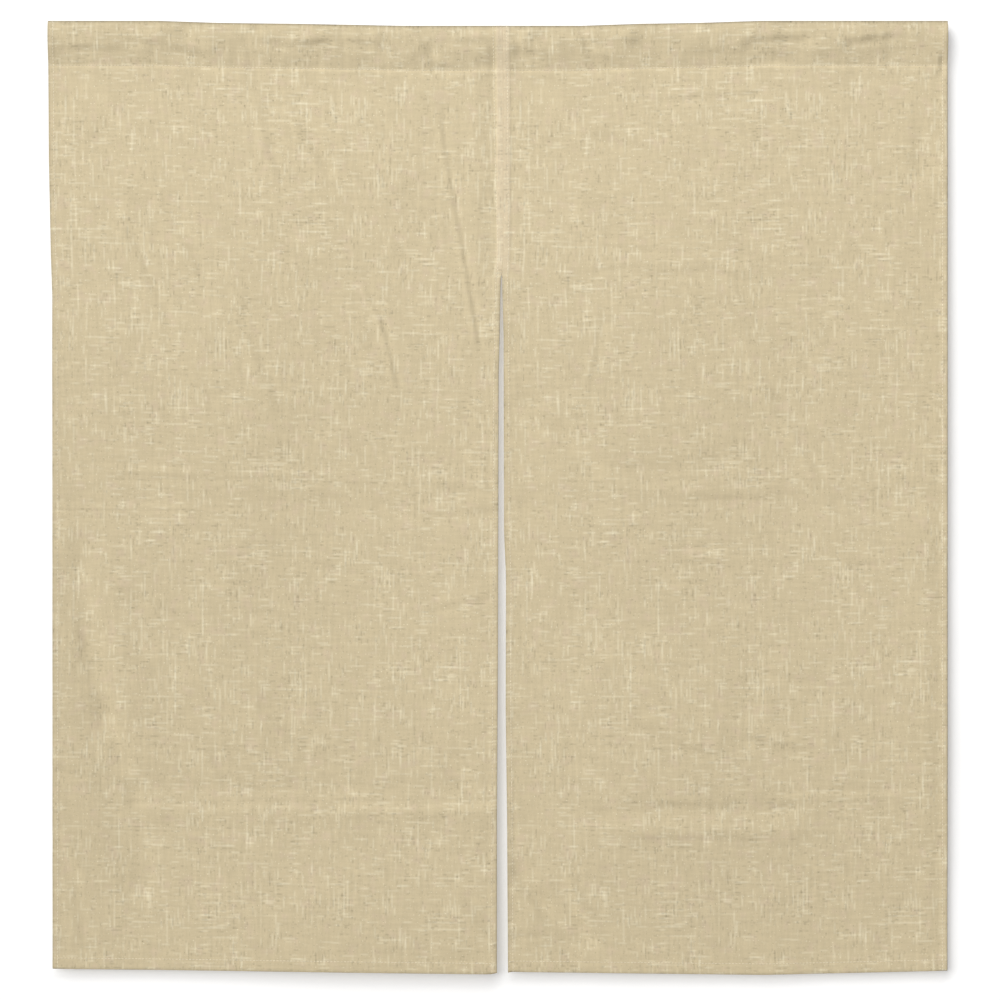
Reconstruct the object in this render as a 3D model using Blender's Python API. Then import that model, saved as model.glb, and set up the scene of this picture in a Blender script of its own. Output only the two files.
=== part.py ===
"""A noren: a short doorway curtain of two cloth panels that hangs flat from the rod pocket along its top.

Lengths are metres and +Z is up. The origin is on the top fold at the centre seam. +X runs to the right of
someone who faces the curtain, and the cloth's front faces -Y. The two panels are sewn edge to edge down to
SLIT_TOP and hang free below it.
"""

from collections import namedtuple

import bpy
import numpy as np

# Driving sizes
CLOTH = 0.001  # one layer of cloth
SEAM_GAP = 0.0003  # between the two panels along the seam
POCKET = 0.042  # from the top fold down to the pocket's stitching
POCKET_LIP = 0.002  # cloth of the back layer below that stitching
SIDE_HEM = 0.0065
BOTTOM_HEM = 0.011
HEM_LAYERS = 0.001  # what a turned hem adds to the cloth's thickness
HEM_STEP = 0.0006  # width of the step from a hem down to the single cloth
SLIT_TOP = -0.235
FRONT_BULGE = 0.0035  # of the pocket's front layer, forward
BACK_BULGE = 0.0065  # of the pocket's back layer, backward
BULGE_RISE, BULGE_FALL = 0.6, 1.5  # powers that set the pocket's section: full near the top, slack below
SLIT_PART = 0.0016  # how far the free inner edges stand apart in depth
SLIT_PART_REACH = 0.07
SLIT_PART_EASE = 0.35  # drop below the seam over which they part
POCKET_EASE = 0.10  # drop below the pocket over which the waves and folds set in
DROP = 0.897  # from the top fold to the bottom edge, on average

# Rows and columns of the facets
INNER_COLUMNS = 25
INNER_ROWS = 21
CREASE_ROWS = (-0.452, -0.745)  # packing creases across the whole curtain
CREASE_ROW_SIDE = 0.013
CREASE_ROW_CLEAR = CREASE_ROW_SIDE / 2  # no even row comes nearer to a crease's row than this
POCKET_TURN = (0.80, 0.60, 0.42, 0.27, 0.14, 0.05, 0.012)  # shares of the pocket's height, stitching to fold

LINEN = (0.651, 0.552, 0.366, 1.0)
LINEN_ROUGHNESS = 0.92
SHARP_TURN = 50  # degrees between facets, above which their shared edge is drawn sharp

# Outline. Each row is a place along the edge and how far the edge reaches there.
EdgePoint = namedtuple("EdgePoint", "along reach")
TOP_EDGE = (
    EdgePoint(-0.431, 0.0047), EdgePoint(-0.325, 0.0047), EdgePoint(-0.270, 0.0028),
    EdgePoint(-0.195, 0.0019), EdgePoint(-0.140, 0.0009), EdgePoint(-0.095, 0.0), EdgePoint(0.075, 0.0),
    EdgePoint(0.130, 0.0019), EdgePoint(0.187, 0.0028), EdgePoint(0.244, 0.0047), EdgePoint(0.422, 0.0047),
)
BOTTOM_EDGE = (
    EdgePoint(-0.427, -0.8940), EdgePoint(-0.220, -0.8962), EdgePoint(-0.005, -0.8987),
    EdgePoint(0.005, -0.8968), EdgePoint(0.245, -0.8997), EdgePoint(0.330, -0.8980),
    EdgePoint(0.422, -0.8959),
)
LEFT_OUTER_EDGE = (
    EdgePoint(-0.900, -0.4266), EdgePoint(-0.255, -0.4266), EdgePoint(-0.217, -0.4280),
    EdgePoint(-0.125, -0.4299), EdgePoint(0.005, -0.4309),
)
LEFT_INNER_EDGE = (
    EdgePoint(-0.900, -0.0052), EdgePoint(-0.750, -0.0052), EdgePoint(-0.600, -0.0043),
    EdgePoint(-0.330, -0.0038), EdgePoint(-0.293, -0.0024), EdgePoint(SLIT_TOP, -SEAM_GAP / 2),
)
RIGHT_INNER_EDGE = (
    EdgePoint(-0.900, 0.0052), EdgePoint(-0.748, 0.0043), EdgePoint(-0.650, 0.0030),
    EdgePoint(-0.520, 0.0033), EdgePoint(-0.480, 0.0014), EdgePoint(-0.293, 0.0014),
    EdgePoint(SLIT_TOP, SEAM_GAP / 2),
)
RIGHT_OUTER_EDGE = (EdgePoint(-0.900, 0.4220), EdgePoint(0.005, 0.4220))

# Low waves of the hanging cloth: a smooth bump of this half width and half height. Depth is to the back.
Wave = namedtuple("Wave", "x z half_width half_height depth")
WAVES = (
    Wave(-0.30, -0.26, 0.14, 0.18, -0.0022),
    Wave(-0.12, -0.54, 0.12, 0.17, 0.0024),
    Wave(-0.33, -0.80, 0.10, 0.12, 0.0020),
    Wave(-0.13, -0.86, 0.14, 0.08, -0.0030),
    Wave(0.12, -0.30, 0.12, 0.16, -0.0024),
    Wave(0.29, -0.50, 0.12, 0.16, 0.0028),
    Wave(0.15, -0.69, 0.10, 0.12, -0.0020),
    Wave(0.34, -0.84, 0.12, 0.11, 0.0032),
)

# Folds along a line from one point to another: a soft trough where depth is to the back, else a ridge.
Fold = namedtuple("Fold", "x1 z1 x2 z2 half_width depth")
FOLDS = (
    Fold(-0.410, -0.520, -0.385, -0.659, 0.014, 0.0018),
    Fold(-0.385, -0.659, -0.344, -0.815, 0.015, 0.0022),
    Fold(-0.374, -0.501, -0.355, -0.641, 0.014, -0.0009),
    Fold(-0.380, -0.102, -0.283, -0.265, 0.012, 0.0010),
    Fold(-0.189, -0.090, -0.102, -0.151, 0.014, -0.0010),
    Fold(-0.344, -0.725, -0.017, -0.727, 0.013, 0.0009),
    Fold(-0.344, -0.745, -0.017, -0.745, 0.012, -0.0010),
    Fold(-0.400, -0.452, -0.010, -0.456, 0.012, 0.0007),
    Fold(-0.217, -0.646, -0.150, -0.725, 0.012, 0.0009),
    Fold(-0.041, -0.700, -0.041, -0.720, 0.014, 0.0010),
    Fold(0.019, -0.362, 0.080, -0.423, 0.014, 0.0013),
    Fold(0.116, -0.420, 0.200, -0.417, 0.014, 0.0011),
    Fold(0.025, -0.452, 0.415, -0.452, 0.012, 0.0007),
    Fold(0.207, -0.247, 0.249, -0.338, 0.014, -0.0010),
    Fold(0.019, -0.659, 0.104, -0.722, 0.013, 0.0010),
    Fold(0.104, -0.742, 0.267, -0.742, 0.012, 0.0011),
    Fold(0.104, -0.762, 0.267, -0.762, 0.012, -0.0008),
    Fold(0.014, -0.810, 0.068, -0.876, 0.014, 0.0022),
    Fold(0.394, -0.078, 0.397, -0.133, 0.012, 0.0011),
)

# Slack dents in the pocket's front layer. Share is how much of the bulge is lost there.
Dent = namedtuple("Dent", "x half_width share")
DENTS = (
    Dent(-0.404, 0.014, 0.35), Dent(-0.301, 0.016, 0.40), Dent(-0.246, 0.018, 0.45),
    Dent(-0.126, 0.016, 0.35), Dent(-0.060, 0.018, 0.30), Dent(0.080, 0.018, 0.35),
    Dent(0.146, 0.016, 0.30), Dent(0.276, 0.022, 0.50), Dent(0.370, 0.016, 0.35),
)


def reach(edge, along):
    """How far an edge reaches at these places, along straight runs between its points."""
    table = np.array(edge)
    return np.interp(along, *table[np.argsort(table[:, 0])].T)


def bell(distance, half_width):
    """1 on the line and falling smoothly to almost nothing at twice the half width."""
    return np.exp(-((distance / half_width) ** 2))


def ease(share):
    """0 below 0, 1 above 1 and a smooth rise between them."""
    share = np.clip(share, 0, 1)
    return share * share * (3 - 2 * share)


def distance_to_fold(x, z, fold):
    """Distance of each point from the fold's straight line, its two ends included."""
    run_x, run_z = fold.x2 - fold.x1, fold.z2 - fold.z1
    share = ((x - fold.x1) * run_x + (z - fold.z1) * run_z) / (run_x**2 + run_z**2)
    share = np.clip(share, 0, 1)
    return np.hypot(x - fold.x1 - share * run_x, z - fold.z1 - share * run_z)


def hang(x, z, inner_side):
    """Depth of the cloth's front at (x, z): the sum of its waves and folds, and nothing where the rod
    pocket holds it straight. Below the seam the free edges part, by inner_side times SLIT_PART."""
    depth = np.zeros_like(x)
    for wave in WAVES:
        away = np.hypot((x - wave.x) / wave.half_width, (z - wave.z) / wave.half_height)
        depth += wave.depth * bell(away, 1)
    for fold in FOLDS:
        depth += fold.depth * bell(distance_to_fold(x, z, fold), fold.half_width)
    parted = ease((SLIT_TOP - z) / SLIT_PART_EASE) * bell(x, SLIT_PART_REACH)
    held_straight = ease((-z - POCKET) / POCKET_EASE)
    return depth * held_straight + inner_side * SLIT_PART * parted


def bulge_share(share_down):
    """The pocket's section: 0 at the top fold and at the stitching, and 1 at its fullest between them."""
    fullest = BULGE_RISE / (BULGE_RISE + BULGE_FALL)
    return (share_down / fullest) ** BULGE_RISE * ((1 - share_down) / (1 - fullest)) ** BULGE_FALL


def slackness(x):
    """What the dents leave of the front layer's bulge at x."""
    return 1 - sum(dent.share * bell(x - dent.x, dent.half_width) for dent in DENTS)


def column_shares(width):
    """Places across a panel as shares of its width, with lines where its side hems end."""
    hem, step = SIDE_HEM / width, HEM_STEP / width
    inner = np.linspace(hem + step, 1 - hem - step, INNER_COLUMNS)
    return np.concatenate([[0, hem], inner, [1 - hem, 1]])


def row_shares():
    """Places down a panel as shares of the way from the pocket's stitching to the bottom edge, with lines
    at the pocket's lip, the packing creases and the bottom hem."""
    below = DROP - POCKET
    sides = (-CREASE_ROW_SIDE, 0, CREASE_ROW_SIDE)
    creases = [-z - POCKET + side for z in CREASE_ROWS for side in sides]
    even = np.linspace(POCKET_LIP + HEM_STEP, below - BOTTOM_HEM - HEM_STEP, INNER_ROWS)
    clear = [row for row in even if min(abs(row - crease) for crease in creases) > CREASE_ROW_CLEAR]
    return np.array([0, POCKET_LIP, *sorted(clear + creases), below - BOTTOM_HEM, below]) / below


def panel_rings(left_edge, right_edge, inner_side):
    """The panel's sections, left to right. Each has an outer ring of points, which runs up the front, over
    the top fold and down the back, and an inner ring round the inside of the pocket."""
    width = reach(right_edge, 0) - reach(left_edge, 0)
    across, down = column_shares(width), row_shares()
    shares, drops = np.meshgrid(across, down, indexing="ij")
    x_flat = reach(left_edge, -POCKET) + shares * width
    top, bottom = reach(TOP_EDGE, x_flat), reach(BOTTOM_EDGE, x_flat)
    z = (top - POCKET) * (1 - drops) + bottom * drops
    x = reach(left_edge, z) * (1 - shares) + reach(right_edge, z) * shares
    hems = np.zeros_like(x)
    hems[[0, 1, -2, -1], :] = HEM_LAYERS
    hems[:, [0, 1, -2, -1]] = HEM_LAYERS
    front = -CLOTH + hang(x, z, inner_side)
    front_points = np.stack([x, front, z], axis=-1)
    back_points = np.stack([x, front + CLOTH + hems, z], axis=-1)

    turn = np.array(POCKET_TURN)
    loop = np.concatenate([turn, [0], turn[::-1]])
    side = np.concatenate([-np.ones(len(turn)), [0], np.ones(len(turn))])
    fullness = np.where(side < 0, FRONT_BULGE * slackness(x[:, :1]), BACK_BULGE)
    bulge = fullness * bulge_share(loop)
    height = POCKET * (1 - loop)
    level = front[:, :1] + CLOTH
    stitched_z = z[:, :1]
    pocket_x = reach(left_edge, stitched_z + height) * (1 - shares[:, :1])
    pocket_x = pocket_x + reach(right_edge, stitched_z + height) * shares[:, :1]
    outer_y = level + side * (CLOTH + bulge)
    outer_loop = np.stack([pocket_x, outer_y, stitched_z + height], axis=-1)
    inner_z = stitched_z + HEM_STEP + (height - HEM_STEP) * (1 - CLOTH / POCKET)
    inner_loop = np.stack([pocket_x, level + side * bulge, inner_z], axis=-1)
    inner_foot = np.stack([x[:, 0], level[:, 0], z[:, 0] + HEM_STEP / 2], axis=-1)[:, None]

    outer = np.concatenate([front_points[:, ::-1], outer_loop, back_points], axis=1)
    inner = np.concatenate([inner_foot, inner_loop], axis=1)
    return outer, inner, len(down)


def panel_faces(sections, outer_count, inner_count, rows):
    """Quads between neighbouring sections round both rings, and the two ends."""
    ring = outer_count + inner_count

    def tube(start, count, turned):
        faces = []
        for section in range(sections - 1):
            for k in range(count):
                a = section * ring + start + k
                b = section * ring + start + (k + 1) % count
                quad = (a, b, b + ring, a + ring)
                faces.append(quad[::-1] if turned else quad)
        return faces

    def end(section, turned):
        first = section * ring
        front = [first + k for k in range(rows)]
        back = [first + outer_count - 1 - k for k in range(rows)]
        pocket = [first + k for k in range(rows - 1, outer_count - rows + 1)]
        inside = [first + outer_count + k for k in range(inner_count)] + [first + outer_count]
        quads = [(front[k], front[k + 1], back[k + 1], back[k]) for k in range(rows - 1)]
        quads += [(pocket[k], pocket[k + 1], inside[k + 1], inside[k]) for k in range(len(pocket) - 1)]
        quads.append((pocket[0], inside[0], pocket[-1]))
        return [face[::-1] for face in quads] if turned else quads

    walls = tube(0, outer_count, True) + tube(outer_count, inner_count, False)
    return walls + end(0, False) + end(sections - 1, True)


def linen(name):
    """Undyed slub cloth: matt and pale straw-coloured."""
    material = bpy.data.materials.new(name)
    material.use_nodes = True
    shader = material.node_tree.nodes["Principled BSDF"]
    shader.inputs["Base Color"].default_value = LINEN
    shader.inputs["Roughness"].default_value = LINEN_ROUGHNESS
    shader.inputs["Metallic"].default_value = 0.0
    return material


def make_panel(name, left_edge, right_edge, inner_side):
    """One panel as a closed solid, with its pocket open at both ends."""
    outer, inner, rows = panel_rings(left_edge, right_edge, inner_side)
    points = np.concatenate([outer, inner], axis=1)
    faces = panel_faces(len(points), outer.shape[1], inner.shape[1], rows)
    mesh = bpy.data.meshes.new(name)
    mesh.from_pydata(points.reshape(-1, 3).tolist(), [], faces)
    mesh.materials.append(linen(name + "_cloth"))
    mesh.validate()
    panel = bpy.data.objects.new(name, mesh)
    bpy.context.scene.collection.objects.link(panel)
    mesh.shade_smooth()
    mesh.set_sharp_from_angle(angle=np.radians(SHARP_TURN))
    return panel


for old in list(bpy.data.objects):
    bpy.data.objects.remove(old)
make_panel("left_panel", LEFT_OUTER_EDGE, LEFT_INNER_EDGE, -1)
make_panel("right_panel", RIGHT_INNER_EDGE, RIGHT_OUTER_EDGE, 1)
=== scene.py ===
"""A noren: a short doorway curtain of two slub cloth panels that hang from the rod pocket along their top.

Lengths are metres, +Z is up and the cloth's front faces -Y. The origin is on the top fold at the centre
seam. The panels are sewn together from the top down to the slit, and hang free below it. Each panel is one
sheet: its side hems are turned to the back, then its top is folded back for the rod pocket and its bottom
is turned up. The sheet's flat coordinates a (across) and b (down) are its UV map, so the weave follows it.
"""

from collections import namedtuple

import bpy
import numpy as np
from bpy.props import FloatProperty, FloatVectorProperty, PointerProperty
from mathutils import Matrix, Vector


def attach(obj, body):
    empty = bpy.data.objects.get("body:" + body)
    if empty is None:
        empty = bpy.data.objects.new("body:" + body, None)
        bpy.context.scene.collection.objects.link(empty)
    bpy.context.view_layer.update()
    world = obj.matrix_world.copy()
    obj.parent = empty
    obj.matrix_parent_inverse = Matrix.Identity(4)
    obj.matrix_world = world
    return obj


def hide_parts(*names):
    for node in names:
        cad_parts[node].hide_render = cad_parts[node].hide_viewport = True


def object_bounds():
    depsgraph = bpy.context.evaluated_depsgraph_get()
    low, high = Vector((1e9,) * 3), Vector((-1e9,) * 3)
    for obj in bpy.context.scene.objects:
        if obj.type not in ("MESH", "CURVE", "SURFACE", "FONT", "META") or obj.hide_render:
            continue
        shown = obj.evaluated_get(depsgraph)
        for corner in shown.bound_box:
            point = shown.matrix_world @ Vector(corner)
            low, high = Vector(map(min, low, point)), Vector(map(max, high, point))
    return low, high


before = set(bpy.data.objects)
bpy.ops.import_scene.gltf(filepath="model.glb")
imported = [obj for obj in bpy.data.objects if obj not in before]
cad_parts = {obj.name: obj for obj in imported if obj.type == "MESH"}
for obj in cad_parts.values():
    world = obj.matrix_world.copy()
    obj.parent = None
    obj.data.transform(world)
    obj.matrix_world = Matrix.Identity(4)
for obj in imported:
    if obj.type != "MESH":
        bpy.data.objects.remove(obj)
cad_low, cad_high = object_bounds()

bl_info = {
    "name": "Noren curtain",
    "version": (1, 0, 0),
    "blender": (4, 5, 0),
    "location": "View3D > Sidebar > Noren",
    "description": "Builds a two-panel noren in slub cloth, with its stitching and a plain stage",
    "category": "Object",
}

MM = 0.001
TOP_Z, BOTTOM_Z = cad_high.z, cad_low.z
LEFT_X, RIGHT_X = cad_low.x, cad_high.x
FRONT_FACE = -0.001  # depth of the cloth's front where nothing bulges or folds
STITCH_SIDES = 5  # of a stitch's tube
STITCH_RINGS = np.array([0, 0.2, 0.8, 1])  # places of its rings along it
STITCH_LIFTS = np.array([-1.0, 0.7, 0.7, -1.0])  # how far they stand off the cloth, in radii
STITCH_AIM = 0.1  # of its length, to either side of a ring, over which its direction is taken
ROUNDING = 1e-9  # by which two equal depths may differ
NOISE_SIDE = 64  # after which soft_noise repeats
AWAY = (0.60, -0.80)  # direction to the lower right, in x and z, that tells a crease's two sides apart
CREASE_PEAK = (2 * np.e) ** 0.5  # brings a crease's section to its depth where it is deepest
CREASE_FADE = 1.3  # of a crease beyond its ends, in half widths
CREASE_SLOPE = 0.0045  # a crease's depth over its half width, for a strength of 1 in full light
CREASE_LIGHT = (0.58, 0.55)  # how well creases that run along x and along z catch the light
CREASE_LEAST = 0.20  # the least that a crease counts as catching
CREASE_BLUR = 2.4 * MM  # half width at which the weave hides half of a crease
FINE_CREASE = 4.5 * MM  # half width below which a crease may be steeper
FINE_STEEPEST, STEEPEST = 0.16, 0.125  # most depth over half width
POCKET_LIP = 0.002  # cloth of the pocket's back layer below its stitching
SLIT_TOP = -0.235
SLIT_PART = 0.0016  # how far the free inner edges stand apart in depth
SLIT_PART_REACH = 0.07
SLIT_PART_EASE = 0.35  # drop below the seam over which they part
POCKET_EASE = 0.10  # drop below the pocket over which the waves and folds set in
BULGE_RISE, BULGE_FALL = 0.6, 1.5  # powers that set the pocket's section: full near the top, slack below
SHOULDER = 0.02  # share of the pocket's height over which the top fold rounds
FLAT_MAP = "cloth_flat"  # UV map in metres of flat cloth
BAKE_MAP = "OFBake"  # the same map, fitted to the unit square
LIGHT_AND_SHADE_MARKS = "light_and_shade_marks"  # attribute: painted light where cloth is pressed over a hem or seam, and painted shade over the doubled pocket and along turned edges

# Outline. Each row is a place along the edge and how far the edge lies inside the whole curtain's box there.
EdgePoint = namedtuple("EdgePoint", "along inset")
TOP_EDGE = (
    EdgePoint(-0.431, 0.0), EdgePoint(-0.325, 0.0), EdgePoint(-0.270, 0.0019), EdgePoint(-0.195, 0.0028),
    EdgePoint(-0.140, 0.0038), EdgePoint(-0.095, 0.0047), EdgePoint(0.075, 0.0047),
    EdgePoint(0.130, 0.0028), EdgePoint(0.187, 0.0019), EdgePoint(0.244, 0.0), EdgePoint(0.422, 0.0),
)
BOTTOM_EDGE = (
    EdgePoint(-0.427, 0.0057), EdgePoint(-0.220, 0.0035), EdgePoint(-0.005, 0.0010), EdgePoint(0.005, 0.0029),
    EdgePoint(0.245, 0.0), EdgePoint(0.330, 0.0017), EdgePoint(0.422, 0.0038),
)
LEFT_OUTER_EDGE = (
    EdgePoint(-0.900, 0.0043), EdgePoint(-0.255, 0.0043), EdgePoint(-0.217, 0.0029),
    EdgePoint(-0.125, 0.0010), EdgePoint(0.005, 0.0),
)
RIGHT_OUTER_EDGE = (EdgePoint(-0.900, 0.0), EdgePoint(0.005, 0.0))

# The inner edges, as x along z. Above the slit the two panels meet.
SeamPoint = namedtuple("SeamPoint", "z x")
LEFT_INNER_EDGE = (
    SeamPoint(-0.900, -0.0052), SeamPoint(-0.750, -0.0052), SeamPoint(-0.600, -0.0043),
    SeamPoint(-0.330, -0.0036), SeamPoint(-0.293, -0.0026), SeamPoint(-0.250, -0.0019),
    SeamPoint(-0.240, -0.0015), SeamPoint(SLIT_TOP, -0.0004), SeamPoint(-0.215, 0.0010),
    SeamPoint(-0.045, 0.0010), SeamPoint(0.005, 0.0004),
)
RIGHT_INNER_EDGE = (
    SeamPoint(-0.900, 0.0052), SeamPoint(-0.748, 0.0043), SeamPoint(-0.650, 0.0030),
    SeamPoint(-0.520, 0.0033), SeamPoint(-0.480, 0.0014), SeamPoint(-0.293, 0.0010),
    SeamPoint(-0.250, -0.0002), SeamPoint(-0.240, -0.0003), SeamPoint(SLIT_TOP, -0.0006),
    SeamPoint(-0.215, 0.0008), SeamPoint(-0.045, 0.0008), SeamPoint(0.005, 0.0002),
)

# How far the topstitching stands from each inner edge
LEFT_SEAM_STITCH = (
    SeamPoint(-0.900, 0.0048), SeamPoint(-0.230, 0.0046), SeamPoint(-0.180, 0.0060),
    SeamPoint(-0.100, 0.0085), SeamPoint(0.005, 0.0095),
)
RIGHT_SEAM_STITCH = (SeamPoint(-0.900, 0.0048), SeamPoint(-0.230, 0.0050), SeamPoint(0.005, 0.0036))

# Low waves of the hanging cloth: a smooth bump of this half width and half height. Depth is to the back.
Wave = namedtuple("Wave", "x z half_width half_height depth")
WAVES = (
    Wave(-0.30, -0.26, 0.14, 0.18, -0.0022),
    Wave(-0.12, -0.54, 0.12, 0.17, 0.0024),
    Wave(-0.33, -0.80, 0.10, 0.12, 0.0020),
    Wave(-0.13, -0.86, 0.14, 0.08, -0.0030),
    Wave(0.12, -0.30, 0.12, 0.16, -0.0024),
    Wave(0.29, -0.50, 0.12, 0.16, 0.0028),
    Wave(0.15, -0.69, 0.10, 0.12, -0.0020),
    Wave(0.34, -0.84, 0.12, 0.11, 0.0032),
)

# Folds along a line from one point to another: a soft trough where depth is to the back, else a ridge.
Fold = namedtuple("Fold", "x1 z1 x2 z2 half_width depth")
FOLDS = (
    Fold(-0.410, -0.520, -0.385, -0.659, 0.014, 0.0018),
    Fold(-0.385, -0.659, -0.344, -0.815, 0.015, 0.0022),
    Fold(-0.374, -0.501, -0.355, -0.641, 0.014, -0.0009),
    Fold(-0.380, -0.102, -0.283, -0.265, 0.012, 0.0010),
    Fold(-0.189, -0.090, -0.102, -0.151, 0.014, -0.0010),
    Fold(-0.344, -0.725, -0.017, -0.727, 0.013, 0.0009),
    Fold(-0.344, -0.745, -0.017, -0.745, 0.012, -0.0010),
    Fold(-0.400, -0.452, -0.010, -0.456, 0.012, 0.0007),
    Fold(-0.217, -0.646, -0.150, -0.725, 0.012, 0.0009),
    Fold(-0.041, -0.700, -0.041, -0.720, 0.014, 0.0010),
    Fold(0.019, -0.362, 0.080, -0.423, 0.014, 0.0013),
    Fold(0.116, -0.420, 0.200, -0.417, 0.014, 0.0011),
    Fold(0.025, -0.452, 0.415, -0.452, 0.012, 0.0007),
    Fold(0.207, -0.247, 0.249, -0.338, 0.014, -0.0010),
    Fold(0.019, -0.659, 0.104, -0.722, 0.013, 0.0010),
    Fold(0.104, -0.742, 0.267, -0.742, 0.012, 0.0011),
    Fold(0.104, -0.762, 0.267, -0.762, 0.012, -0.0008),
    Fold(0.014, -0.810, 0.068, -0.876, 0.014, 0.0022),
    Fold(0.394, -0.078, 0.397, -0.133, 0.012, 0.0011),
)

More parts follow.
